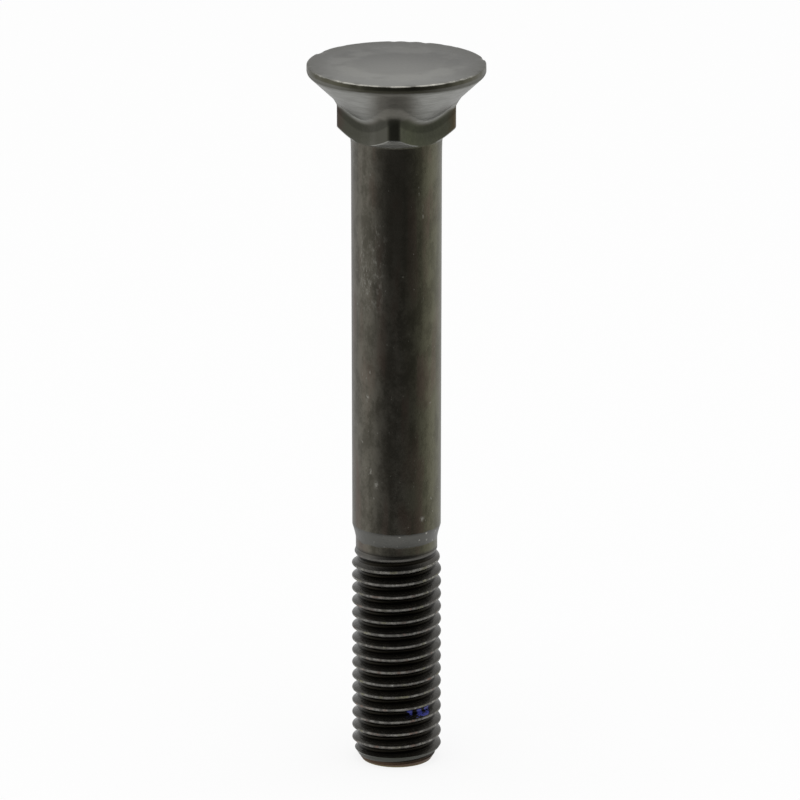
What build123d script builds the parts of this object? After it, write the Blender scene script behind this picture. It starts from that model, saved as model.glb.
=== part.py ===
"""Flat countersunk square-neck bolt, size M12, forged in one piece with a rolled thread.

The bolt stands on its threaded end. Its origin is the middle of that end's flat
face, +Z runs up the axis to the face of the head, and sizes are in millimetres.
"""
from build123d import *
from math import radians, tan
import os

# --- Whole bolt -------------------------------------------------------------
BOLT_LENGTH = 95.8              # head face to threaded end

# --- Head -------------------------------------------------------------------
HEAD_DIAMETER = 23.5
HEAD_EDGE = 1.1                 # upright edge, down to where it would meet the cone
HEAD_CONE_ANGLE = 93.0          # included angle of the countersunk seat
HEAD_RIM_BREAK = 0.15           # worn corner between the face and the edge
HEAD_SEAT_BREAK = 0.32          # forged corner between the edge and the cone

# --- Square neck ------------------------------------------------------------
NECK_ACROSS_FLATS = 11.92
NECK_ACROSS_CORNERS = 15.6      # over the truncated corners
NECK_CORNER_ROUND = 0.4         # where a flat turns into a truncated corner
NECK_DEPTH = 8.45               # head face to the lower end of the corners
NECK_UNDERSIDE_ANGLE = 39.0     # fall of the corners' undersides from level
NECK_FILLET = 0.65              # between the cone and the neck

# --- Shank ------------------------------------------------------------------
SHANK_DIAMETER = 11.84
SHANK_FLARE_DIAMETER = 12.1     # where the shank leaves the neck
SHANK_FLARE_LENGTH = 3.0        # over which the flare runs out into the shank
SHOULDER_LENGTH = 2.25          # fall from the shank to the waist

# --- Rolled thread, in the metric form: a sharp 60 degree V, cut back at crest and root
THREAD_LENGTH = 30.6            # end face to the waist above the thread
THREAD_PITCH = 1.75
THREAD_MAJOR_DIAMETER = 11.86
THREAD_FLANK_ANGLE = 60.0       # between the two flanks of a ridge
THREAD_CREST_START = 0.2        # crest's height at +X, on the turn that meets the end face
THREAD_ROOT_EASE = 0.04         # swelling at the flank's foot, where rolling rounds the root
THREAD_RISE = 0.52              # metal raised by rolling, from the bare waist to the crest
THREAD_WAIST_LENGTH = 0.4       # bare stretch below the shoulder
THREAD_RUNOUT_LENGTH = 3.0      # over which the ridge grows to its full height
THREAD_ROOT_START = 0.3         # from the waist's top down to where the groove sets in
THREAD_ROOT_LENGTH = 2.9        # over which the groove reaches its full depth
POINT_CHAMFER = 1.26            # how far the end face is drawn in from the crests
POINT_LENGTH = 2.0              # height of that chamfer, which leads a nut on

# --- Sizes that follow from the thread's form -------------------------------
SHARP_HEIGHT = THREAD_PITCH / (2 * tan(radians(THREAD_FLANK_ANGLE / 2)))
THREAD_DEPTH = SHARP_HEIGHT * 17 / 24
CREST_FLAT = THREAD_PITCH / 8
CREST_RADIUS = THREAD_MAJOR_DIAMETER / 2
ROOT_RADIUS = CREST_RADIUS - THREAD_DEPTH
WAIST_RADIUS = CREST_RADIUS - THREAD_RISE

# --- Working allowances -----------------------------------------------------
RIDGE_SINK = 0.08               # how far the ridge is carried into the core
TOOL_OVERLAP = 0.5              # how far a cutting body reaches past the metal
THREAD_OVERRUN = 4.0            # extra length of core and ridge, cut off at either end


def turned(outline):
    """Turn a closed outline of (radius, height) points about the bolt's axis."""
    with BuildPart() as body:
        with BuildSketch(Plane.XZ):
            with BuildLine():
                Polyline(*outline, close=True)
            make_face()
        revolve(axis=Axis.Z)
    return body.part


def head():
    """Flat head: a face, a short upright edge and the cone that seats it."""
    rim = HEAD_DIAMETER / 2
    edge_foot = BOLT_LENGTH - HEAD_EDGE
    tip = edge_foot - rim / tan(radians(HEAD_CONE_ANGLE / 2))
    with BuildPart() as body:
        with BuildSketch(Plane.XZ) as section:
            with BuildLine():
                Polyline((0, BOLT_LENGTH), (rim, BOLT_LENGTH), (rim, edge_foot), (0, tip), close=True)
            make_face()
            seat_corner, rim_corner = section.vertices().group_by(Axis.X)[-1].sort_by(Axis.Y)
            chamfer(rim_corner, HEAD_RIM_BREAK)
            chamfer(seat_corner, HEAD_SEAT_BREAK)
        revolve(axis=Axis.Z)
    return body.part


def neck():
    """Square neck with truncated corners, whose undersides slope in to the shank."""
    flare = SHANK_FLARE_DIAMETER / 2
    corner = NECK_ACROSS_CORNERS / 2
    fall = tan(radians(NECK_UNDERSIDE_ANGLE))
    outside = NECK_ACROSS_FLATS
    top = BOLT_LENGTH - HEAD_EDGE
    corner_foot = BOLT_LENGTH - NECK_DEPTH
    neck_foot = corner_foot - (corner - flare) * fall
    flare_foot = neck_foot - SHANK_FLARE_LENGTH
    with BuildPart() as prism:
        with BuildSketch(Plane.XY.offset(flare_foot)) as section:
            Rectangle(NECK_ACROSS_FLATS, NECK_ACROSS_FLATS, rotation=45)
            Circle(corner, mode=Mode.INTERSECT)
            fillet(section.vertices(), NECK_CORNER_ROUND)
        extrude(amount=top - flare_foot)
    envelope = turned(
        [
            (0, top),
            (outside, top),
            (outside, corner_foot + (outside - corner) * fall),
            (flare, neck_foot),
            (SHANK_DIAMETER / 2, flare_foot),
            (0, flare_foot),
        ]
    )
    return prism.part & envelope, flare_foot


def shank(top):
    """Plain shank, and the shoulder that leads down to the waist."""
    radius = SHANK_DIAMETER / 2
    return turned(
        [
            (0, top),
            (radius, top),
            (radius, THREAD_LENGTH + SHOULDER_LENGTH),
            (WAIST_RADIUS, THREAD_LENGTH),
            (0, THREAD_LENGTH),
        ]
    )


def coil(start, stop, radius):
    """Right-hand helix between two heights, as one edge for each turn."""
    full_turns = int((stop - start) / THREAD_PITCH)
    last_start = start + full_turns * THREAD_PITCH
    turns = [
        Helix(THREAD_PITCH, THREAD_PITCH, radius, center=(0, 0, start + turn * THREAD_PITCH))
        for turn in range(full_turns)
    ]
    turns.append(Helix(THREAD_PITCH, stop - last_start, radius, center=(0, 0, last_start)))
    return Wire([turn.edge() for turn in turns])


def thread_ridge():
    """One helical ridge from below the end face up to the waist, with its run-out."""
    flank_slope = tan(radians(THREAD_FLANK_ANGLE / 2))
    knee_drop = THREAD_DEPTH / 2
    base_drop = THREAD_DEPTH + RIDGE_SINK
    half_crest = CREST_FLAT / 2
    half_knee = half_crest + knee_drop * flank_slope
    half_base = half_crest + base_drop * flank_slope + THREAD_ROOT_EASE
    start = THREAD_CREST_START - THREAD_PITCH
    stop = THREAD_LENGTH - THREAD_WAIST_LENGTH / 2
    with BuildPart() as ridge:
        with BuildSketch(Plane.XZ):
            with BuildLine():
                Polyline(
                    (CREST_RADIUS - base_drop, start - half_base),
                    (CREST_RADIUS - knee_drop, start - half_knee),
                    (CREST_RADIUS, start - half_crest),
                    (CREST_RADIUS, start + half_crest),
                    (CREST_RADIUS - knee_drop, start + half_knee),
                    (CREST_RADIUS - base_drop, start + half_base),
                    close=True,
                )
            make_face()
        sweep(path=coil(start, stop, CREST_RADIUS), is_frenet=True)
    slope = THREAD_RISE / THREAD_RUNOUT_LENGTH
    first_rise = THREAD_LENGTH - THREAD_WAIST_LENGTH
    full_height = first_rise - THREAD_RUNOUT_LENGTH
    outside = CREST_RADIUS + TOOL_OVERLAP
    above = stop + THREAD_OVERRUN
    runout = turned(
        [
            (outside, full_height - TOOL_OVERLAP / slope),
            (outside, above),
            (0, above),
            (0, stop),
            (WAIST_RADIUS - (stop - first_rise) * slope, stop),
        ]
    )
    return ridge.part - runout


def thread():
    """Threaded end: core, ridge and the chamfered point."""
    point = CREST_RADIUS - POINT_CHAMFER
    root_start = THREAD_LENGTH - THREAD_ROOT_START
    below = -THREAD_OVERRUN
    bar = turned(
        [
            (0, below),
            (ROOT_RADIUS, below),
            (ROOT_RADIUS, root_start - THREAD_ROOT_LENGTH),
            (WAIST_RADIUS, root_start),
            (WAIST_RADIUS, THREAD_LENGTH),
            (0, THREAD_LENGTH),
        ]
    )
    outside = CREST_RADIUS + TOOL_OVERLAP
    chamfer = turned(
        [
            (0, 0),
            (point, 0),
            (outside, (outside - point) * POINT_LENGTH / POINT_CHAMFER),
            (outside, below - TOOL_OVERLAP),
            (0, below - TOOL_OVERLAP),
        ]
    )
    return bar + thread_ridge() - chamfer


def bolt():
    """The whole forging, with a fillet where the neck grows out of the cone."""
    square, shank_top = neck()
    upper = head() + square
    seat = upper.faces().filter_by(GeomType.CONE).sort_by(SortBy.AREA)[-1]
    seat_top = max(edge.center().Z for edge in seat.edges())
    neck_joint = seat.edges().filter_by(lambda edge: edge.center().Z < seat_top - TOOL_OVERLAP)
    upper = upper.fillet(NECK_FILLET, neck_joint)
    return upper + shank(shank_top) + thread()


os.makedirs("parts", exist_ok=True)
square_neck_bolt = bolt()
square_neck_bolt.label = "square_neck_bolt"
export_step(square_neck_bolt, "parts/square_neck_bolt.step")
print("volume mm3", round(square_neck_bolt.volume, 1), "solids", len(square_neck_bolt.solids()))
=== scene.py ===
"""Looks of the flat countersunk square-neck bolt: one fine forging, its worn black oxide, a studio.

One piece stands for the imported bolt. The rolled thread is screwed up from the section of one
ridge. Everything above it is grown ring by ring from the waist: shoulder, shank, square neck and
countersunk head. Lengths are in metres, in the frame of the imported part. Inside the materials
they are in millimetres.
"""

from math import atan2, cos, degrees, exp, hypot, pi, radians, sin, sqrt, tan

import bmesh
import bpy
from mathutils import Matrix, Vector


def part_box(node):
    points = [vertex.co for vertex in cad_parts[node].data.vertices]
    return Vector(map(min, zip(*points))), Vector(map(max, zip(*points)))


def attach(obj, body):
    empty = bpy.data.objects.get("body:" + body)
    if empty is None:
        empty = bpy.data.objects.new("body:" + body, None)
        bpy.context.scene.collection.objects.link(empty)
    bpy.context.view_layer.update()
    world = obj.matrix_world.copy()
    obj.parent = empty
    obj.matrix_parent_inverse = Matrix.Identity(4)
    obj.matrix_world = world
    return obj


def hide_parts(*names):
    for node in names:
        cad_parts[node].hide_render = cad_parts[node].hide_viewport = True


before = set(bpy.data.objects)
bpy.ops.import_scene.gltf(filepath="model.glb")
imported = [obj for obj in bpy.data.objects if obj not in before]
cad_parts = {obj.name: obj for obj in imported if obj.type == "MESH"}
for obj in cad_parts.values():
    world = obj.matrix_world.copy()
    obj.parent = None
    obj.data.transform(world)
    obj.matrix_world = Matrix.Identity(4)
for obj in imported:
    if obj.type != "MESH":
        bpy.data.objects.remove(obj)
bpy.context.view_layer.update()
high_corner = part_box("square_neck_bolt")[1]

MM = 0.001
BOLT_LENGTH = high_corner.z
HEAD_RADIUS = high_corner.x

# --- Head and square neck ---------------------------------------------------
HEAD_EDGE = 1.1 * MM
HEAD_CONE_SLOPE = radians(46.5)         # between the cone and the bolt's axis
HEAD_SEAT_ROUND = 0.75 * MM
HEAD_RIM_ROUND = 0.16 * MM
HEAD_RIM_WEAR = 0.09 * MM               # the most that knocks have worn off the rim
RIM_KNOCKS = ((5, 1), (11, 4), (19, 2), (31, 0))    # waves round the rim, and where each starts
RIM_KNOCK_EASE = 5                      # larger makes deep knocks rarer
HEAD_CONE_START = 9.4 * MM              # radius from which the cone is a plain turned one
NECK_HALF_FLAT = 5.97 * MM
NECK_CORNER_RADIUS = 7.8 * MM
NECK_CORNER_BLEND = 0.1 * MM
NECK_DEPTH = 8.45 * MM
NECK_UNDERSIDE_FALL = radians(39)
NECK_FLAT_FILLET = 0.9 * MM             # under the cone, at the middle of a flat
NECK_CORNER_FILLET = 7.0 * MM           # and over a truncated corner
NECK_CORNER_CREASE = 25                 # degrees by which that corner meets its fillet
NECK_EDGE_ROUND = 0.14 * MM
NECK_FOOT_ROUND = 0.35 * MM
NECK_LEAST_ROUND = 0.02 * MM
NECK_ROUND_SHARE = 0.4                  # of an underside's width, which a round may take up

# --- Shank ------------------------------------------------------------------
SHANK_TOP_RADIUS = 5.965 * MM
SHANK_FOOT_RADIUS = 5.876 * MM
FLARE_GROWTH = 0.08 * MM                # where the shank meets a corner's underside
FLARE_LENGTH = 1.0 * MM                 # over which that growth falls to about a third
FLARE_RINGS = (3.2, 2.4, 1.8, 1.3, 0.9, 0.6)    # millimetres below the neck
SHANK_NECK_RADIUS = SHANK_TOP_RADIUS + FLARE_GROWTH
NECK_UNDERSIDE_DROP = (NECK_CORNER_RADIUS - SHANK_NECK_RADIUS) * tan(NECK_UNDERSIDE_FALL)
NECK_FOOT = BOLT_LENGTH - NECK_DEPTH - NECK_UNDERSIDE_DROP
SHOULDER_TOP = 32.87 * MM
SHOULDER_FOOT = 30.95 * MM
SHANK_FIRST_RING = 0.12 * MM            # above the shoulder
SHANK_LAST_RING = 4 * MM                # below the neck, where the flare's own rings begin
SHOULDER_CURVE = 1.3                    # 1 is a straight cone, more is hollow at the foot
WAIST_RADIUS = 5.41 * MM
WAIST_RING = 0.2 * MM                   # lowest ring of the waist, above the thread

# --- Rolled thread ----------------------------------------------------------
PITCH = 1.75 * MM
CREST_RADIUS = 5.93 * MM
SHARP_HEIGHT = PITCH * sqrt(3) / 2
CREST_ROUND = SHARP_HEIGHT / 8
ROOT_ROUND = SHARP_HEIGHT / 6
ROOT_RADIUS = CREST_RADIUS - SHARP_HEIGHT * 17 / 24
CREST_START = 0.2 * MM                  # height of the lowest crest at +X
THREAD_TOP = 30.6 * MM
SPARE_TURNS = 3                         # rolled too long, then cut off at both ends
RUNOUT_START = 27.4 * MM                # from here up the ridge sinks into the waist
RUNOUT_TOP = 29.8 * MM                  # and here it is gone
POINT_RADIUS = 4.67 * MM
POINT_SLOPE = 0.64                      # radius gained for each millimetre of height
POINT_TOP = 2.6 * MM                    # height to which the chamfer's cutter reaches
TOOL_OVERLAP = 1 * MM                   # how far that cutter reaches below the end face
TOOL_RADIUS = 8 * MM

# --- Fineness ---------------------------------------------------------------
COLUMNS = 192
ARC_STEPS = 6
SHORT_ARC_STEPS = 3
RIM_ARC_STEPS = 4
SHOULDER_STEPS = 6
SHANK_STEPS = 18
FLAT_STEPS = 4
CONE_STEPS = 6
FACE_RINGS = (0.95, 0.88, 0.8, 0.7, 0.6, 0.45, 0.3, 0.15, 0.05)     # shares of the head's radius
SMOOTH_BELOW = radians(35)              # edges that turn more than this stay sharp
MERGE = 0.01 * MM                       # points closer than this are joined
TINY = 0.0001 * MM                      # and those this close to a cut lie on it


# --- Mesh tools -------------------------------------------------------------
def arc(centre, radius, first, last, steps):
    """Points (radius, height) of an arc; the angles are in degrees from outwards to upwards."""
    turns = [radians(first + (last - first) * step / steps) for step in range(steps + 1)]
    return [(centre[0] + radius * cos(turn), centre[1] + radius * sin(turn)) for turn in turns]


def along(first, second, share):
    """The point at a share of the way from the first to the second."""
    return first[0] + (second[0] - first[0]) * share, first[1] + (second[1] - first[1]) * share


def deselect_all():
    """Nothing stays selected in object mode."""
    bpy.ops.object.select_all(action="DESELECT")


def edit_all(piece):
    """Opens a piece in edit mode with all of it selected."""
    bpy.context.view_layer.objects.active = piece
    bpy.ops.object.mode_set(mode="EDIT")
    bpy.ops.mesh.select_all(action="SELECT")


def close_edit():
    """Back to object mode."""
    bpy.ops.object.mode_set(mode="OBJECT")


def apply_modifier(piece, kind, **settings):
    """Adds a modifier with these settings and applies it."""
    modifier = piece.modifiers.new(kind.lower(), kind)
    for name, value in settings.items():
        setattr(modifier, name, value)
    bpy.context.view_layer.objects.active = piece
    bpy.ops.object.modifier_apply(modifier=modifier.name)


def recalculate_normals(piece):
    """Turns all faces outwards."""
    edit_all(piece)
    bpy.ops.mesh.normals_make_consistent(inside=False)
    close_edit()


def merge_doubles(piece):
    """Joins points that lie on one another."""
    edit_all(piece)
    bpy.ops.mesh.remove_doubles(threshold=MERGE)
    close_edit()


def draw_outline(name, outline):
    """A new piece: a chain of edges through (radius, height) points in the plane y = 0."""
    deselect_all()
    bpy.ops.mesh.primitive_circle_add(vertices=3, radius=MM)
    piece = bpy.context.active_object
    piece.name = name
    edit_all(piece)
    bpy.ops.mesh.merge(type="CENTER")
    radius, height = outline[0]
    bpy.ops.transform.translate(value=(radius, 0, height))
    for (r0, z0), (r1, z1) in zip(outline, outline[1:]):
        bpy.ops.mesh.extrude_region_move(TRANSFORM_OT_translate={"value": (r1 - r0, 0, z1 - z0)})
    close_edit()
    return piece


def grow_rings(name, rings):
    """A new piece grown upwards ring by ring. A ring gives (radius, height) at an angle."""
    deselect_all()
    bpy.ops.mesh.primitive_circle_add(vertices=COLUMNS, radius=MM)
    piece = bpy.context.active_object
    piece.name = name
    edit_all(piece)
    for number, ring in enumerate(rings):
        if number:
            bpy.ops.mesh.extrude_region_move()
        mesh = bmesh.from_edit_mesh(piece.data)
        for vertex in mesh.verts:
            if vertex.select:
                angle = atan2(vertex.co.y, vertex.co.x)
                radius, height = ring(angle)
                vertex.co = (radius * cos(angle), radius * sin(angle), height)
    bpy.ops.mesh.extrude_region_move()
    bpy.ops.mesh.merge(type="CENTER")
    close_edit()
    return piece


def turned_stretch(outline):
    """Rings of the same outline at every angle."""
    return [lambda angle, point=point: point for point in outline]


def cut_across(piece, height, keep_below, fill):
    """Cuts the piece off square to the axis at a height."""
    edit_all(piece)
    bpy.ops.mesh.bisect(
        plane_co=(0, 0, height),
        plane_no=(0, 0, 1),
        clear_outer=keep_below,
        clear_inner=not keep_below,
        use_fill=fill,
        threshold=TINY,
    )
    close_edit()


# --- Thread -----------------------------------------------------------------
def ridge_section():
    """One pitch of the thread, from root to root over a crest, rolled with round crest and root."""
    middle = CREST_START - PITCH
    crest = arc((CREST_RADIUS - CREST_ROUND, middle), CREST_ROUND, -60, 60, ARC_STEPS)
    root_centre = ROOT_RADIUS + ROOT_ROUND
    lower = arc((root_centre, middle - PITCH / 2), ROOT_ROUND, 180, 120, SHORT_ARC_STEPS)
    upper = arc((root_centre, middle + PITCH / 2), ROOT_ROUND, 240, 180, SHORT_ARC_STEPS)
    lower_flank = along(lower[-1], crest[0], 0.5)
    upper_flank = along(crest[-1], upper[0], 0.5)
    return lower + [lower_flank] + crest + [upper_flank] + upper


def roll_thread():
    """The thread, with a ridge that grows out of the blank below the waist."""
    thread = draw_outline("thread", ridge_section())
    turns = int(THREAD_TOP / PITCH) + SPARE_TURNS
    apply_modifier(
        thread, "SCREW", axis="Z", angle=2 * pi, screw_offset=PITCH, iterations=turns,
        steps=COLUMNS, render_steps=COLUMNS, use_smooth_shade=True,
    )
    merge_doubles(thread)
    cut_across(thread, THREAD_TOP, keep_below=True, fill=False)
    cut_across(thread, 0, keep_below=False, fill=True)
    bare = thread.vertex_groups.new(name="bare")
    for vertex in thread.data.vertices:
        share = (vertex.co.z - RUNOUT_START) / (RUNOUT_TOP - RUNOUT_START)
        bare.add([vertex.index], min(max(share, 0), 1), "REPLACE")
    apply_modifier(
        thread, "CAST", cast_type="CYLINDER", factor=1, size=WAIST_RADIUS, radius=0,
        use_radius_as_size=False, use_x=True, use_y=True, use_z=False, vertex_group="bare",
    )
    return thread


def point_cutter():
    """A turned ring that cuts the chamfer at the threaded end."""
    start = (POINT_RADIUS - TOOL_OVERLAP * POINT_SLOPE, -TOOL_OVERLAP)
    section = [
        start,
        (POINT_RADIUS + POINT_TOP * POINT_SLOPE, POINT_TOP),
        (TOOL_RADIUS, POINT_TOP),
        (TOOL_RADIUS, -TOOL_OVERLAP),
        start,
    ]
    cutter = draw_outline("point_cutter", section)
    merge_doubles(cutter)
    apply_modifier(
        cutter, "SCREW", axis="Z", angle=2 * pi, screw_offset=0,
        steps=COLUMNS, render_steps=COLUMNS, use_merge_vertices=True, merge_threshold=MERGE,
    )
    recalculate_normals(cutter)
    return cutter


# --- Shank, neck and head ---------------------------------------------------
def shoulder_outline():
    """From the waist over the shoulder to the foot of the shank."""
    outline = [(WAIST_RADIUS, THREAD_TOP + WAIST_RING)]
    for step in range(SHOULDER_STEPS + 1):
        share = step / SHOULDER_STEPS
        growth = (SHANK_FOOT_RADIUS - WAIST_RADIUS) * share ** SHOULDER_CURVE
        outline.append((WAIST_RADIUS + growth, SHOULDER_FOOT + (SHOULDER_TOP - SHOULDER_FOOT) * share))
    return outline


def square_radius(angle):
    """How far the square neck reaches from the axis at an angle, over its truncated corners."""
    off_flat = (angle % (pi / 2)) - pi / 4
    flat = NECK_HALF_FLAT / cos(off_flat)
    spread = max(NECK_CORNER_BLEND - abs(flat - NECK_CORNER_RADIUS), 0) / NECK_CORNER_BLEND
    return min(flat, NECK_CORNER_RADIUS) - spread * spread * NECK_CORNER_BLEND / 4


def cornerness(angle):
    """0 at the middle of a flat, 1 at a truncated corner."""
    return (square_radius(angle) - NECK_HALF_FLAT) / (NECK_CORNER_RADIUS - NECK_HALF_FLAT)


def shank_radius(angle, height):
    """Radius of the shank, which tapers a little and flares out below the neck's corners."""
    rise = (height - SHOULDER_TOP) / (NECK_FOOT - SHOULDER_TOP)
    taper = (SHANK_TOP_RADIUS - SHANK_FOOT_RADIUS) * rise
    flare = FLARE_GROWTH * exp((height - NECK_FOOT) / FLARE_LENGTH) * cornerness(angle)
    return SHANK_FOOT_RADIUS + taper + flare


def shank_rings():
    """Even rings up the shank, which close up below the neck."""
    foot = SHOULDER_TOP + SHANK_FIRST_RING
    top = NECK_FOOT - SHANK_LAST_RING
    heights = [foot + (top - foot) * step / SHANK_STEPS for step in range(SHANK_STEPS + 1)]
    heights += [NECK_FOOT - drop * MM for drop in FLARE_RINGS]
    return [lambda angle, height=height: (shank_radius(angle, height), height) for height in heights]


def underside_outline(angle):
    """From the shank over a corner's underside to the foot of the flat, with a round at either end."""
    square = square_radius(angle)
    shank = shank_radius(angle, NECK_FOOT)
    edge = NECK_FOOT + (square - shank) * tan(NECK_UNDERSIDE_FALL)
    width = hypot(square - shank, edge - NECK_FOOT)
    turn = 90 - degrees(NECK_UNDERSIDE_FALL)
    half_turn = tan(radians(turn / 2))
    most = NECK_ROUND_SHARE * width / half_turn + NECK_LEAST_ROUND
    foot_round = min(NECK_FOOT_ROUND, most)
    edge_round = min(NECK_EDGE_ROUND, most)
    foot_centre = (shank + foot_round, NECK_FOOT - foot_round * half_turn)
    edge_centre = (square - edge_round, edge + edge_round * half_turn)
    foot_arc = arc(foot_centre, foot_round, 180, 180 - turn, SHORT_ARC_STEPS)
    edge_arc = arc(edge_centre, edge_round, -turn, 0, SHORT_ARC_STEPS)
    return foot_arc + edge_arc


def fillet_outline(angle):
    """From the flat into the cone. Over a corner the fillet is larger and starts at a crease."""
    radius = NECK_FLAT_FILLET + (NECK_CORNER_FILLET - NECK_FLAT_FILLET) * cornerness(angle)
    crease = NECK_CORNER_CREASE * cornerness(angle)
    centre_radius = square_radius(angle) + radius * cos(radians(crease))
    touch_radius = centre_radius - radius * cos(HEAD_CONE_SLOPE)
    touch_height = BOLT_LENGTH - HEAD_EDGE - (HEAD_RADIUS - touch_radius) / tan(HEAD_CONE_SLOPE)
    centre = (centre_radius, touch_height - radius * sin(HEAD_CONE_SLOPE))
    return arc(centre, radius, 180 - crease, 180 - degrees(HEAD_CONE_SLOPE), ARC_STEPS + 2)


def neck_outline(angle):
    """Outline of the neck at an angle, from the shank up to the cone."""
    underside = underside_outline(angle)
    fillet = fillet_outline(angle)
    flat = [along(underside[-1], fillet[0], step / FLAT_STEPS) for step in range(1, FLAT_STEPS)]
    return underside + flat + fillet


def neck_rings():
    """One ring for each point of the neck's outline."""
    count = len(neck_outline(0))
    return [lambda angle, number=number: neck_outline(angle)[number] for number in range(count)]


def rim_wear(angle):
    """How far knocks have worn the rim back at an angle."""
    knocks = sum(sin(waves * angle + start) for waves, start in RIM_KNOCKS)
    return HEAD_RIM_WEAR * min(max(knocks, 0) ** 2 / RIM_KNOCK_EASE, 1)


def worn_back(point, angle):
    """A point (radius, height) of the rim, with its wear at an angle."""
    return point[0] - rim_wear(angle), point[1] - rim_wear(angle)


def head_rings():
    """From the cone above the neck over the seat corner, the edge and the rim to the face."""
    slope = degrees(HEAD_CONE_SLOPE)
    edge_foot = BOLT_LENGTH - HEAD_EDGE
    seat_height = edge_foot + HEAD_SEAT_ROUND * tan(HEAD_CONE_SLOPE / 2)
    seat = arc((HEAD_RADIUS - HEAD_SEAT_ROUND, seat_height), HEAD_SEAT_ROUND, -slope, 0, ARC_STEPS)
    first = (HEAD_CONE_START, edge_foot - (HEAD_RADIUS - HEAD_CONE_START) / tan(HEAD_CONE_SLOPE))
    cone = [along(first, seat[0], step / CONE_STEPS) for step in range(CONE_STEPS)]
    rim_centre = (HEAD_RADIUS - HEAD_RIM_ROUND, BOLT_LENGTH - HEAD_RIM_ROUND)
    rim = arc(rim_centre, HEAD_RIM_ROUND, 0, 90, RIM_ARC_STEPS)
    face = [(HEAD_RADIUS * share, BOLT_LENGTH) for share in FACE_RINGS]
    worn_rim = [lambda angle, point=point: worn_back(point, angle) for point in rim]
    return turned_stretch(cone + seat) + worn_rim + turned_stretch(face)


def forge_bolt():
    """The whole bolt as one closed mesh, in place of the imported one."""
    bolt = roll_thread()
    shoulder_rings = turned_stretch(shoulder_outline())
    upper = grow_rings("upper", shoulder_rings + shank_rings() + neck_rings() + head_rings())
    deselect_all()
    upper.select_set(True)
    bolt.select_set(True)
    bpy.context.view_layer.objects.active = bolt
    bpy.ops.object.join()
    bolt.name = "bolt"
    bolt.data.name = "bolt"
    edit_all(bolt)
    bpy.ops.mesh.select_all(action="DESELECT")
    bpy.ops.mesh.select_mode(type="EDGE")
    bpy.ops.mesh.select_non_manifold(
        extend=False, use_wire=False, use_multi_face=False, use_non_contiguous=False, use_verts=False
    )
    bpy.ops.mesh.bridge_edge_loops()
    bpy.ops.mesh.select_mode(type="VERT")
    close_edit()
    recalculate_normals(bolt)
    cutter = point_cutter()
    apply_modifier(bolt, "BOOLEAN", operation="DIFFERENCE", solver="EXACT", object=cutter)
    bpy.data.objects.remove(cutter)
    deselect_all()
    bolt.select_set(True)
    bpy.context.view_layer.objects.active = bolt
    bpy.ops.object.shade_smooth_by_angle(angle=SMOOTH_BELOW)
    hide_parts("square_neck_bolt")
    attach(bolt, "root")
    return bolt


# --- Shader expressions -----------------------------------------------------
class Shade:
    """One output socket, used in Python expressions: each operator adds its Math node."""

    def __init__(self, tree, socket):
        self.tree = tree
        self.socket = socket

    def node(self, kind, inputs, output=0, stops=None, **settings):
        """Adds a node: its settings first, then the values or links of its sockets."""
        made = self.tree.nodes.new(kind)
        for name, value in settings.items():
            setattr(made, name, value)
        if stops:
            ramp = made.color_ramp
            while len(ramp.elements) < len(stops):
                ramp.elements.new(0)
            for element, (place, level) in zip(ramp.elements, stops):
                element.position = place
                element.color = (level, level, level, 1)
        for name, value in inputs.items():
            if isinstance(value, Shade):
                self.tree.links.new(value.socket, made.inputs[name])
            else:
                made.inputs[name].default_value = value
        return Shade(self.tree, made.outputs[output])

    def math(self, operation, *others):
        """A Math node on this value and others."""
        return self.node("ShaderNodeMath", dict(enumerate((self, *others))), operation=operation)

    def __add__(self, other):
        return self.math("ADD", other)

    def __mul__(self, other):
        return self.math("MULTIPLY", other)

    def __sub__(self, other):
        return self.math("SUBTRACT", other)

    def __rsub__(self, other):
        return self.node("ShaderNodeMath", {0: other, 1: self}, operation="SUBTRACT")

    __radd__ = __add__
    __rmul__ = __mul__

    def step(self, low, high):
        """0 at low, 1 at high, smooth between them. Low may be above high."""
        sockets = {"Value": self, "From Min": low, "From Max": high}
        return self.node("ShaderNodeMapRange", sockets, interpolation_type="SMOOTHSTEP")

    def between(self, low, high, soft):
        """1 between two limits, fading over a soft width outside them."""
        return self.step(low - soft, low) * self.step(high + soft, high)

    def ramp(self, stops):
        """A level for each place along the value, by straight lines between the stops."""
        return self.node("ShaderNodeValToRGB", {0: self}, stops=stops)

    def part(self, axis):
        """X, Y or Z of a vector."""
        return self.node("ShaderNodeSeparateXYZ", {0: self}, output=axis)

    def stretched(self, x, y, z):
        """A vector with its parts multiplied."""
        return self.node("ShaderNodeVectorMath", {0: self, 1: (x, y, z)}, operation="MULTIPLY")

    def noise(self, size, detail=2, rough=0.5):
        """Soft noise about 0.5, with features of this size."""
        sockets = {"Vector": self, "Scale": 1 / size, "Detail": detail, "Roughness": rough}
        return self.node("ShaderNodeTexNoise", sockets)

    def blend(self, first, second):
        """One colour where this mask is 0, another where it is 1."""
        return self.node("ShaderNodeMix", {0: self, 6: first, 7: second}, output=2, data_type="RGBA")


def new_tree(owner):
    """An empty node tree for a material or the world."""
    owner.use_nodes = True
    owner.node_tree.nodes.clear()
    return owner.node_tree


def in_millimetres(tree, coordinates):
    """The place on the object, in millimetres."""
    return Shade(tree, coordinates.outputs["Object"]).stretched(1 / MM, 1 / MM, 1 / MM)


def rgb(red, green, blue):
    """A colour for a socket."""
    return red, green, blue, 1


# --- Finish of the bolt, in millimetres -------------------------------------
OXIDE = rgb(0.126, 0.118, 0.097)
OXIDE_DARK = rgb(0.073, 0.068, 0.054)
OXIDE_RED = rgb(0.110, 0.080, 0.064)
OXIDE_GREEN = rgb(0.116, 0.114, 0.073)
OXIDE_DARK_GREEN = rgb(0.080, 0.077, 0.050)
SCUFF = rgb(0.300, 0.292, 0.260)

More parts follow.
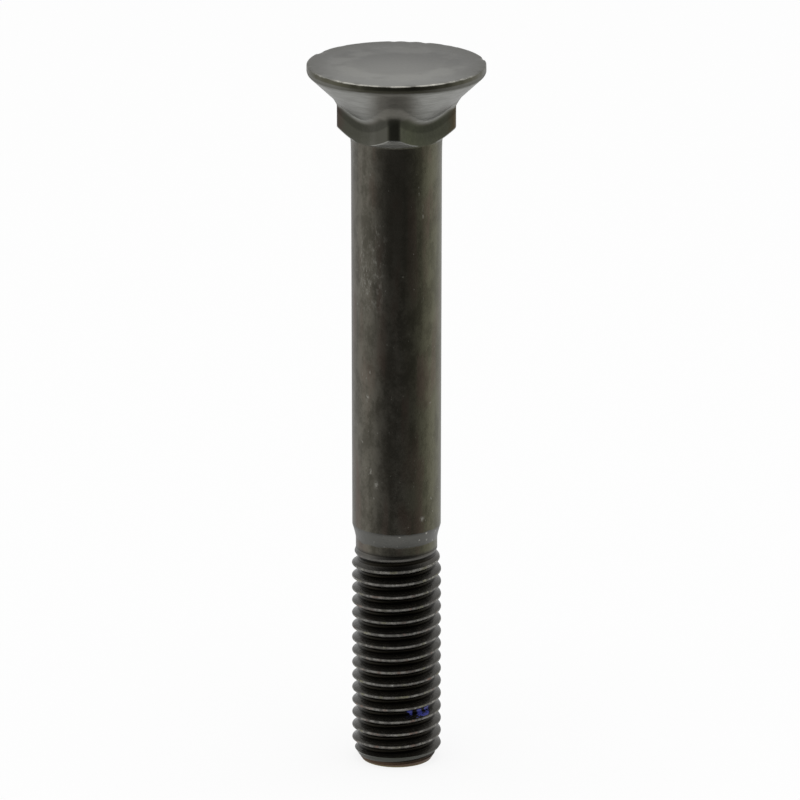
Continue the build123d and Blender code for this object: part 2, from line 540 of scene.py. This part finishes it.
FACE = rgb(0.100, 0.099, 0.090)
FACE_BRIGHT = rgb(0.243, 0.241, 0.221)
FACE_RIM = rgb(0.070, 0.068, 0.054)
RIM_GLINT = rgb(0.480, 0.470, 0.420)
RIM_CHIP = rgb(0.850, 0.830, 0.750)
EDGE = rgb(0.085, 0.082, 0.060)
CONE_DARK = rgb(0.228, 0.228, 0.211)
CONE_LIGHT = rgb(0.282, 0.282, 0.264)

NECK_GREY = rgb(0.108, 0.105, 0.090)
NECK_GREEN = rgb(0.098, 0.104, 0.068)
NECK_SHADE = rgb(0.060, 0.060, 0.046)
CORNER_RED = rgb(0.066, 0.046, 0.038)
CORNER_BROWN = rgb(0.090, 0.066, 0.036)
PALE_SCALE = rgb(0.250, 0.250, 0.232)

SATIN = rgb(0.105, 0.104, 0.096)
FLANK = rgb(0.100, 0.096, 0.088)
THREAD_SHADE = rgb(0.018, 0.016, 0.012)
DULL_CREST = rgb(0.110, 0.106, 0.095)
WORN_CREST = rgb(0.240, 0.233, 0.212)
RED_CREST = rgb(0.200, 0.140, 0.112)
YELLOW_CREST = rgb(0.190, 0.185, 0.120)
BARE_STEEL = rgb(0.480, 0.470, 0.430)
POINT = rgb(0.046, 0.047, 0.037)
RUST = rgb(0.095, 0.054, 0.029)
YELLOW_RUST = rgb(0.230, 0.190, 0.085)
MARKER_BLUE = rgb(0.044, 0.052, 0.280)

SCRATCHES = [                           # across, height, half width, half length
    (-3.6, 51.5, 0.15, 0.7),
    (-2.4, 39.8, 0.18, 0.8),
    (-3.2, 41.5, 0.12, 0.6),
    (3.7, 77.0, 0.06, 1.3),
    (3.6, 34.9, 0.20, 0.5),
]
SMEAR_BLOTS = [                         # across from and to, height from and to
    (1.7, 2.2, 7.5, 8.1),
    (3.0, 4.4, 7.1, 7.9),
]

UNDER_NECK = (74, 86)                   # heights between which the shank is darkened by painted shade under the neck
MARKED = (34, 84)                       # and between which it has small marks
RUBBED = (66, 73)                       # heights of the rubbed place
RUBBED_ACROSS = -3
FORGED_RING = (6.6, 8.0)                # radii of a faint ring in the face
FACE_LIGHT = -7                         # depth about which the face has its painted highlight
FACE_BRIGHT_TO = (15, 3)                # distances from there, dull and bright
CREST_BAND = (-0.36, 0.08)              # from the crest's middle, along the axis
UPPER_FLANK_BAND = (0.16, 0.8)
ROOT_LEVEL = (5.35, 5.05)               # radii at which the painted shade in the roots starts and is full
RUST_HEIGHT = 0.7                       # how far the rust has crept up from the end face

LENGTH = BOLT_LENGTH / MM
RIM = HEAD_RADIUS / MM
CORNER = NECK_CORNER_RADIUS / MM
EDGE_FOOT = (BOLT_LENGTH - HEAD_EDGE) / MM
CORNER_FOOT = (BOLT_LENGTH - NECK_DEPTH) / MM
SHANK_END = NECK_FOOT / MM
RUNOUT = (RUNOUT_TOP - RUNOUT_START) / MM


class Surface:
    """A point of the bolt's surface: its place, the grain of the oxide there and its zones."""

    def __init__(self, place):
        self.place = place
        self.x = place.part("X")
        self.y = place.part("Y")
        self.z = place.part("Z")
        self.radius = (self.x * self.x + self.y * self.y).math("SQRT")
        self.across = self.x.math("ABSOLUTE")
        self.waver = place.noise(1.8, detail=3) - 0.5       # makes the zones' borders uneven
        self.mottling = place.noise(0.45, detail=4, rough=0.7)
        self.clouds = place.stretched(1, 1, 0.6).noise(2.0, detail=4, rough=0.6)
        self.streaks = place.stretched(1, 1, 0.05).noise(1.1, detail=3)
        self.patches = place.stretched(1, 1, 0.4).noise(4.0, detail=3)
        self.tone = (0.25 * self.mottling + 0.5 * self.clouds + 0.25 * self.streaks).step(0.4, 0.58)
        self.find_head()
        self.find_neck()
        self.find_thread()

    def find_head(self):
        """Face, rim, edge, the corner between edge and cone, and the cone."""
        z = self.z
        radius = self.radius
        self.face = z.step(LENGTH - 0.12, LENGTH - 0.03)
        rim_height = z + 0.12 * self.waver
        rim_corner = radius.step(RIM - 0.4, RIM - 0.2) * rim_height.step(LENGTH - 0.18, LENGTH - 0.06)
        # painted highlight: this mask covers only the front of the rim
        self.rim = rim_corner * self.y.step(-4, -9)
        edge_height = z + 0.2 * self.waver + 0.03 * self.across
        at_edge = radius.step(RIM - 0.3, RIM - 0.15) * edge_height.step(EDGE_FOOT + 0.1, EDGE_FOOT + 0.35)
        self.edge = at_edge * (1 - self.face)
        at_seat_corner = z.between(EDGE_FOOT - 0.2, EDGE_FOOT + 0.4, 0.15)
        self.seat_corner = at_seat_corner * radius.step(RIM - 0.7, RIM - 0.4)
        self.in_head = z.step(CORNER_FOOT - 0.75, CORNER_FOOT - 0.15)
        self.inside_cone = radius + (EDGE_FOOT - z) * tan(HEAD_CONE_SLOPE) - RIM
        self.below_cone = self.inside_cone - 0.3 * radius.step(CORNER - 0.6, CORNER - 0.1)
        self.cone = self.in_head * self.below_cone.step(0.8, 0.0) * (1 - self.face) * (1 - self.edge)
        self.fillet = self.in_head * self.inside_cone.between(0.05, 1.4, 0.4)

    def find_neck(self):
        """Flats, the undersides of the corners and the shoulder below the shank."""
        self.neck = self.z.step(SHANK_END - 0.13, SHANK_END + 0.27) * self.below_cone.step(0.0, 0.8)
        over_foot = self.z + (CORNER - self.radius) * tan(NECK_UNDERSIDE_FALL)
        at_foot = over_foot.between(CORNER_FOOT - 0.15, CORNER_FOOT + 0.1, 0.1)
        self.underside = self.radius.step(6.1, 6.3) * at_foot
        uneven = self.z + 0.6 * self.waver
        self.shoulder = uneven.between(SHOULDER_FOOT / MM + 0.1, SHOULDER_TOP / MM + 0.08, 0.1)

    def find_thread(self):
        """Crests, upper flanks and roots, which die away where the ridge sinks into the waist."""
        self.thread = self.z.step(THREAD_TOP / MM - 0.4, THREAD_TOP / MM - 1.2)
        sunk = ((self.z - RUNOUT_START / MM) * (1 / RUNOUT)).math("MAXIMUM", 0).math("MINIMUM", 1)
        rolled = (self.radius - WAIST_RADIUS / MM * sunk).math("DIVIDE", (1 - sunk).math("MAXIMUM", 0.05))
        turns = (self.z - CREST_START / MM) * (MM / PITCH) - self.y.math("ARCTAN2", self.x) * (0.5 / pi)
        above_crest = ((turns + 0.5).math("FRACT") - 0.5) * (PITCH / MM)
        on_crest = (above_crest + 0.1 * self.waver).between(*CREST_BAND, 0.08)
        self.crest = self.thread * on_crest * sunk.step(0.9, 0.3)
        self.upper_flank = self.thread * above_crest.between(*UPPER_FLANK_BAND, 0.1) * sunk.step(1, 0.6)
        self.root = self.thread * rolled.step(*ROOT_LEVEL)


def shank_colour(at):
    """Black oxide, greener to one side, with brownish patches, and painted shade under the neck."""
    plain = at.tone.blend(OXIDE_DARK, OXIDE)
    green = at.tone.blend(OXIDE_DARK_GREEN, OXIDE_GREEN)
    colour = (at.x.step(0, 4) * 0.8).blend(plain, green)
    reddened = at.patches.step(0.46, 0.62) * at.streaks.step(0.4, 0.6)
    colour = (reddened * 0.6).blend(colour, OXIDE_RED)
    # painted shade under the neck, darkest in the middle of the front and back
    under_neck = at.z.between(*UNDER_NECK, 8) * at.across.step(3.4, 0.8)
    return (0.6 * under_neck).blend(colour, OXIDE_DARK)


def scuffs(at):
    """One rubbed place on the shank, small marks all over it, and the scratches."""
    grain = at.place.stretched(1, 1, 0.45).noise(0.45, detail=5, rough=0.75).step(0.5, 0.64)
    beside = (at.x - RUBBED_ACROSS).math("ABSOLUTE")
    rubbed = beside.step(2.6, 0.6) * at.z.between(*RUBBED, 4)
    marks = at.place.stretched(1, 1, 0.4).noise(0.3, detail=2).step(0.71, 0.77) * at.z.between(*MARKED, 1)
    scuffed = (grain * rubbed * at.clouds.step(0.38, 0.5) * 0.45).math("MAXIMUM", marks * 0.6)
    broken = at.mottling.step(0.4, 0.6) * at.y.step(0, -1)
    for across, height, half_width, half_length in SCRATCHES:
        beside = (at.x - across).math("ABSOLUTE").step(2 * half_width, 0)
        along_it = (at.z - height).math("ABSOLUTE").step(half_length, 0)
        scuffed = scuffed.math("MAXIMUM", beside * along_it * broken)
    return scuffed


def face_colour(at):
    """Forged face, with a faint ring and a painted highlight towards the front, darker near the rim
    except at the front.
    """
    depth = at.y - FACE_LIGHT
    from_light = (at.x * at.x + depth * depth).math("SQRT")
    forged_ring = (at.radius + 2.5 * at.waver).between(*FORGED_RING, 1.8) * at.patches.step(0.35, 0.55)
    # painted highlight: the face is lighter towards the front
    light = 0.65 * from_light.step(*FACE_BRIGHT_TO) + 0.35 * forged_ring
    near_rim = (at.radius + 1.5 * at.waver).step(RIM - 4.2, RIM + 0.4) * at.y.step(-8, -3)
    return near_rim.blend(light.blend(FACE, FACE_BRIGHT), FACE_RIM)


def cone_colour(at):
    """Fine rings drawn round the cone by the die, with painted shade in the oxide's colour in the middle
    of the front.
    """
    rings = at.place.stretched(0.12, 0.12, 1).noise(0.28, detail=3).step(0.35, 0.65)
    # painted shade: the middle of the cone's front takes the darker oxide colour
    whole = at.across.step(4.2, 1.4) * at.y.step(0, -2) * 0.75
    return whole.blend(rings.blend(CONE_DARK, CONE_LIGHT), OXIDE)


def neck_colour(at):
    """Grey and green flats with painted shade towards the sides and on the truncated corners, a painted
    shadow left of the front corner, and brown side corners.
    """
    colour = at.x.step(-1, 2).blend(NECK_GREY, NECK_GREEN)
    # painted shade: the flats darken towards the sides, less on the right
    to_side = (at.across + 1.5 * at.waver).step(1.8, 5.0) * (1 - 0.5 * at.x.step(0, 2))
    colour = to_side.blend(colour, NECK_SHADE)
    # painted shade on the truncated corners
    colour = (0.8 * at.radius.step(CORNER - 0.25, CORNER - 0.05)).blend(colour, NECK_SHADE)
    corner = at.x.step(-1, 1).blend(CORNER_RED, CORNER_BROWN)
    colour = (at.across + 1.2 * at.waver).step(6.4, 7.9).blend(colour, corner)
    # random tone, and a painted shadow just left of the front corner
    shade = (0.35 * at.tone).math("MAXIMUM", 0.6 * at.x.between(-2.2, -0.9, 0.8))
    return shade.blend(colour, NECK_SHADE)


def colour_head(at, colour):
    """Face, cone, neck, edge and the undersides of the corners, over the shank's colour."""
    colour = at.face.blend(colour, face_colour(at))
    colour = at.cone.blend(colour, cone_colour(at))
    colour = at.neck.blend(colour, neck_colour(at))
    colour = at.edge.blend(colour, EDGE)
    # painted sheen: the seat corner is lighter at the sides
    colour = (0.5 * at.seat_corner * at.across.step(3, 8)).blend(colour, CONE_DARK)
    return at.underside.blend(colour, PALE_SCALE)


def colour_rim(at, colour):
    """A painted highlight along the front of the rim: a bright line broken by nicks, with a few chips."""
    nicks = at.place.noise(0.9, detail=4, rough=0.6).step(0.4, 0.56)
    colour = (at.rim * (0.2 + 0.8 * nicks)).blend(colour, RIM_GLINT)
    chips = at.place.noise(0.7, detail=2).step(0.62, 0.7) * at.across.step(3, 6)
    return (at.rim * chips * 0.6).blend(colour, RIM_CHIP)


def colour_thread(at, colour):
    """Dull flanks, painted shade in the roots and on the upper flanks, and crests worn to steel in
    specks.
    """
    worn = at.place.stretched(1, 1, 0.4).noise(0.6, detail=4, rough=0.6)
    tint = at.place.stretched(1, 1, 0.5).noise(1.7, detail=2)
    crest = tint.step(0.55, 0.66).blend(WORN_CREST, YELLOW_CREST)
    crest = tint.step(0.45, 0.34).blend(crest, RED_CREST)
    crest = (0.5 * worn + 0.5 * at.mottling).step(0.4, 0.58).blend(DULL_CREST, crest)
    colour = at.thread.blend(colour, FLANK)
    # painted shade in the roots, and at half strength on the upper flanks
    colour = (0.5 * at.upper_flank).math("MAXIMUM", at.root).blend(colour, THREAD_SHADE)
    colour = (at.crest * (0.4 + 0.6 * worn.step(0.4, 0.55))).blend(colour, crest)
    specks = at.place.noise(0.32, detail=2).step(0.61, 0.71)
    return (at.crest * specks * worn.step(0.45, 0.6)).blend(colour, BARE_STEEL)


def colour_shoulder(at, colour):
    """A satin ring with bright specks to one side."""
    colour = at.shoulder.blend(colour, SATIN)
    specks = at.place.noise(0.5, detail=3).step(0.64, 0.74) * at.x.step(-4, 1)
    return (0.7 * at.shoulder * specks).blend(colour, BARE_STEEL)


def colour_end(at, rust, colour):
    """The dark chamfer, and the rust at the end face."""
    from_chamfer = (at.radius - POINT_RADIUS / MM - POINT_SLOPE * at.z).math("ABSOLUTE")
    chamfer = from_chamfer.step(0.1, 0.03) * at.z.step(2.2, 1.9)
    colour = chamfer.blend(colour, POINT)
    colour = rust.blend(colour, RUST)
    return (at.z + 0.2 * at.waver).step(0.25, 0.08).blend(colour, YELLOW_RUST)


def marker_smear(at):
    """Two small blots of marker ink in one groove of the thread."""
    blots = [
        at.x.between(left, right, 0.2) * at.z.between(low, high, 0.2)
        for left, right, low, high in SMEAR_BLOTS
    ]
    in_groove = at.y.step(0, -1) * at.radius.step(5.8, 5.65)
    return blots[0].math("MAXIMUM", blots[1]) * in_groove * at.place.noise(0.7, detail=3).step(0.45, 0.55)


def dullness(at, rust):
    """Roughness, lowest on the drawn cone and highest on rust and knocked metal."""
    even = 0.30 + 0.10 * at.mottling
    head = 0.18 * at.fillet - 0.16 * at.cone + 0.06 * at.in_head * at.radius.step(9.6, CORNER)
    knocked = 0.25 * at.rim + 0.2 * at.seat_corner
    thread = 0.12 * at.root + 0.2 * at.crest - 0.1 * at.upper_flank
    return even + head + knocked + thread + 0.25 * rust


def forging_scale(at):
    """Relief of the scale, coarser below the head and almost gone from the face."""
    fine = (2 - at.in_head) * at.place.noise(0.16, detail=3)
    middle = 2.5 * at.place.noise(0.9, detail=2)
    coarse = 5 * at.place.noise(3.0, detail=2) * (1 - at.in_head)
    height = (fine + middle + coarse) * (1 - 0.9 * at.face)
    return height.node("ShaderNodeBump", {"Height": height, "Strength": 0.35, "Distance": 0.03 * MM})


def black_oxide():
    """Forged and rolled steel in worn black oxide."""
    material = bpy.data.materials.new("black_oxide")
    tree = new_tree(material)
    shader = tree.nodes.new("ShaderNodeBsdfPrincipled")
    output = tree.nodes.new("ShaderNodeOutputMaterial")
    tree.links.new(shader.outputs["BSDF"], output.inputs["Surface"])
    coordinates = tree.nodes.new("ShaderNodeTexCoord")
    at = Surface(in_millimetres(tree, coordinates))
    scuffed = scuffs(at)
    rust = (at.z + 0.3 * at.waver).step(RUST_HEIGHT + 0.25, RUST_HEIGHT - 0.25)
    smear = marker_smear(at)

    colour = scuffed.blend(shank_colour(at), SCUFF)
    colour = colour_head(at, colour)
    colour = colour_shoulder(at, colour)
    colour = colour_thread(at, colour)
    colour = colour_rim(at, colour)
    colour = colour_end(at, rust, colour)
    colour = smear.blend(colour, MARKER_BLUE)

    covered = smear.math("MAXIMUM", rust * 0.6).math("MAXIMUM", at.crest * 0.4)
    # the rim and face parts also let their painted highlight show as matt colour
    bare = 0.45 * at.rim + 0.25 * at.seat_corner + 0.45 * at.face + 0.3 * scuffed
    finish = {
        "Base Color": colour,
        "Roughness": dullness(at, rust),
        "Normal": forging_scale(at),
        "Metallic": 1 - covered - bare,
    }
    for name, value in finish.items():
        tree.links.new(value.socket, shader.inputs[name])
    return material


# --- Studio -----------------------------------------------------------------
CAMERA_AWAY = 1010 * MM
CAMERA_ASIDE = 0.46 * MM
CAMERA_HEIGHT = 362.2 * MM
CAMERA_TILT = radians(72.8165)          # from looking straight down
CAMERA_TURN = radians(2.7)              # towards +X of the neck's front corner
CAMERA_LENS = 360                       # millimetres, on a sensor a tenth as wide
CAMERA_REACH = 50                       # metres

TENT = [                                # place from behind to in front, brightness
    (0, 0.7),
    (0.1, 0.75),
    (0.25, 0.95),
    (0.42, 1.1),
    (0.5, 1.05),
    (0.6, 0.8),
    (0.7, 0.5),
    (0.8, 0.25),
    (0.9, 0.06),
    (1, 0.02),
]
TENT_TURN = CAMERA_TURN + radians(9)    # the open side, a little past the camera
CEILING = (0.6, 0.95)                   # sine of the height at which the roof starts and is full
CEILING_DIM = 0.92
TRAY_INNER = 35                         # millimetres to which the floor is bright
TRAY_OUTER = 80                         # and where it mirrors the tent alone
FLOOR_SIZE = 8
ROOM_LEVEL = 0.7
FLOOR_GLOW = 0.85
LAMP_PLACE = (0, -0.1, 1.5)
LAMP_SIZE = 1.2
LAMP_POWER = 9
WHITE = rgb(1, 1, 1)
PALE_GREY = rgb(0.9, 0.9, 0.9)


def white_seen(tree):
    """Rays that must see plain white, and rays that mirror the tent."""
    rays = tree.nodes.new("ShaderNodeLightPath").outputs
    direct = Shade(tree, rays["Is Camera Ray"]).math("MAXIMUM", Shade(tree, rays["Is Transmission Ray"]))
    return direct, Shade(tree, rays["Is Glossy Ray"])


def tent_level(x, y):
    """How bright the tent's wall is in a direction. Its open side is where the camera stands."""
    front = x * sin(TENT_TURN) - y * cos(TENT_TURN)
    return (front * 0.5 + 0.5).ramp(TENT)


def make_world():
    """White all round, as a light tent that opens towards the camera."""
    world = bpy.data.worlds.new("studio")
    bpy.context.scene.world = world
    tree = new_tree(world)
    direct, mirrored = white_seen(tree)
    coordinates = tree.nodes.new("ShaderNodeTexCoord")
    direction = Shade(tree, coordinates.outputs["Generated"])
    ceiling = direction.part("Z").step(*CEILING)
    wall = tent_level(direction.part("X"), direction.part("Y")) * (1 - CEILING_DIM * ceiling)
    level = mirrored * wall + (1 - mirrored) * ROOM_LEVEL
    strength = direct + (1 - direct) * level
    background = tree.nodes.new("ShaderNodeBackground")
    output = tree.nodes.new("ShaderNodeOutputWorld")
    tree.links.new(strength.socket, background.inputs["Strength"])
    tree.links.new(background.outputs["Background"], output.inputs["Surface"])
    background.inputs["Color"].default_value = WHITE


def make_floor():
    """Pale floor that keeps the bolt's shadow. The metal mirrors its bright middle and the tent."""
    bpy.ops.mesh.primitive_plane_add(size=FLOOR_SIZE)
    floor = bpy.context.active_object
    floor.name = "floor"
    material = bpy.data.materials.new("pale_floor")
    tree = new_tree(material)
    direct, mirrored = white_seen(tree)
    coordinates = tree.nodes.new("ShaderNodeTexCoord")
    place = in_millimetres(tree, coordinates)
    x = place.part("X")
    y = place.part("Y")
    far = (x * x + y * y).math("SQRT")
    near = far.step(TRAY_OUTER, TRAY_INNER)
    wall = tent_level(x.math("DIVIDE", far), y.math("DIVIDE", far))
    level = near + (1 - near) * wall
    glow = place.node("ShaderNodeEmission", {"Color": WHITE, "Strength": direct + (1 - direct) * level})
    matt = place.node("ShaderNodeBsdfDiffuse", {"Color": PALE_GREY})
    seen = direct.math("MAXIMUM", mirrored) * FLOOR_GLOW
    surface = place.node("ShaderNodeMixShader", {0: seen, 1: matt, 2: glow})
    output = tree.nodes.new("ShaderNodeOutputMaterial")
    tree.links.new(surface.socket, output.inputs["Surface"])
    floor.data.materials.append(material)


def make_lamp():
    """A soft square lamp overhead that points straight down and isn't mirrored."""
    data = bpy.data.lights.new("overhead", "AREA")
    data.shape = "SQUARE"
    data.size = LAMP_SIZE
    data.energy = LAMP_POWER
    lamp = bpy.data.objects.new("overhead", data)
    lamp.location = LAMP_PLACE
    lamp.visible_glossy = False
    bpy.context.scene.collection.objects.link(lamp)


def make_camera():
    """Long lens a metre in front of the bolt, looking down on it."""
    data = bpy.data.cameras.new("camera")
    data.lens = CAMERA_LENS
    data.sensor_width = CAMERA_LENS / 10
    data.clip_end = CAMERA_REACH
    camera = bpy.data.objects.new("camera", data)
    x = CAMERA_ASIDE * cos(CAMERA_TURN) + CAMERA_AWAY * sin(CAMERA_TURN)
    y = CAMERA_ASIDE * sin(CAMERA_TURN) - CAMERA_AWAY * cos(CAMERA_TURN)
    camera.location = (x, y, CAMERA_HEIGHT)
    camera.rotation_euler = (CAMERA_TILT, 0, CAMERA_TURN)
    bpy.context.scene.collection.objects.link(camera)
    bpy.context.scene.camera = camera


bolt = forge_bolt()
bolt.data.materials.clear()
bolt.data.materials.append(black_oxide())
make_floor()
make_world()
make_lamp()
make_camera()
bpy.context.scene.view_settings.view_transform = "Standard"
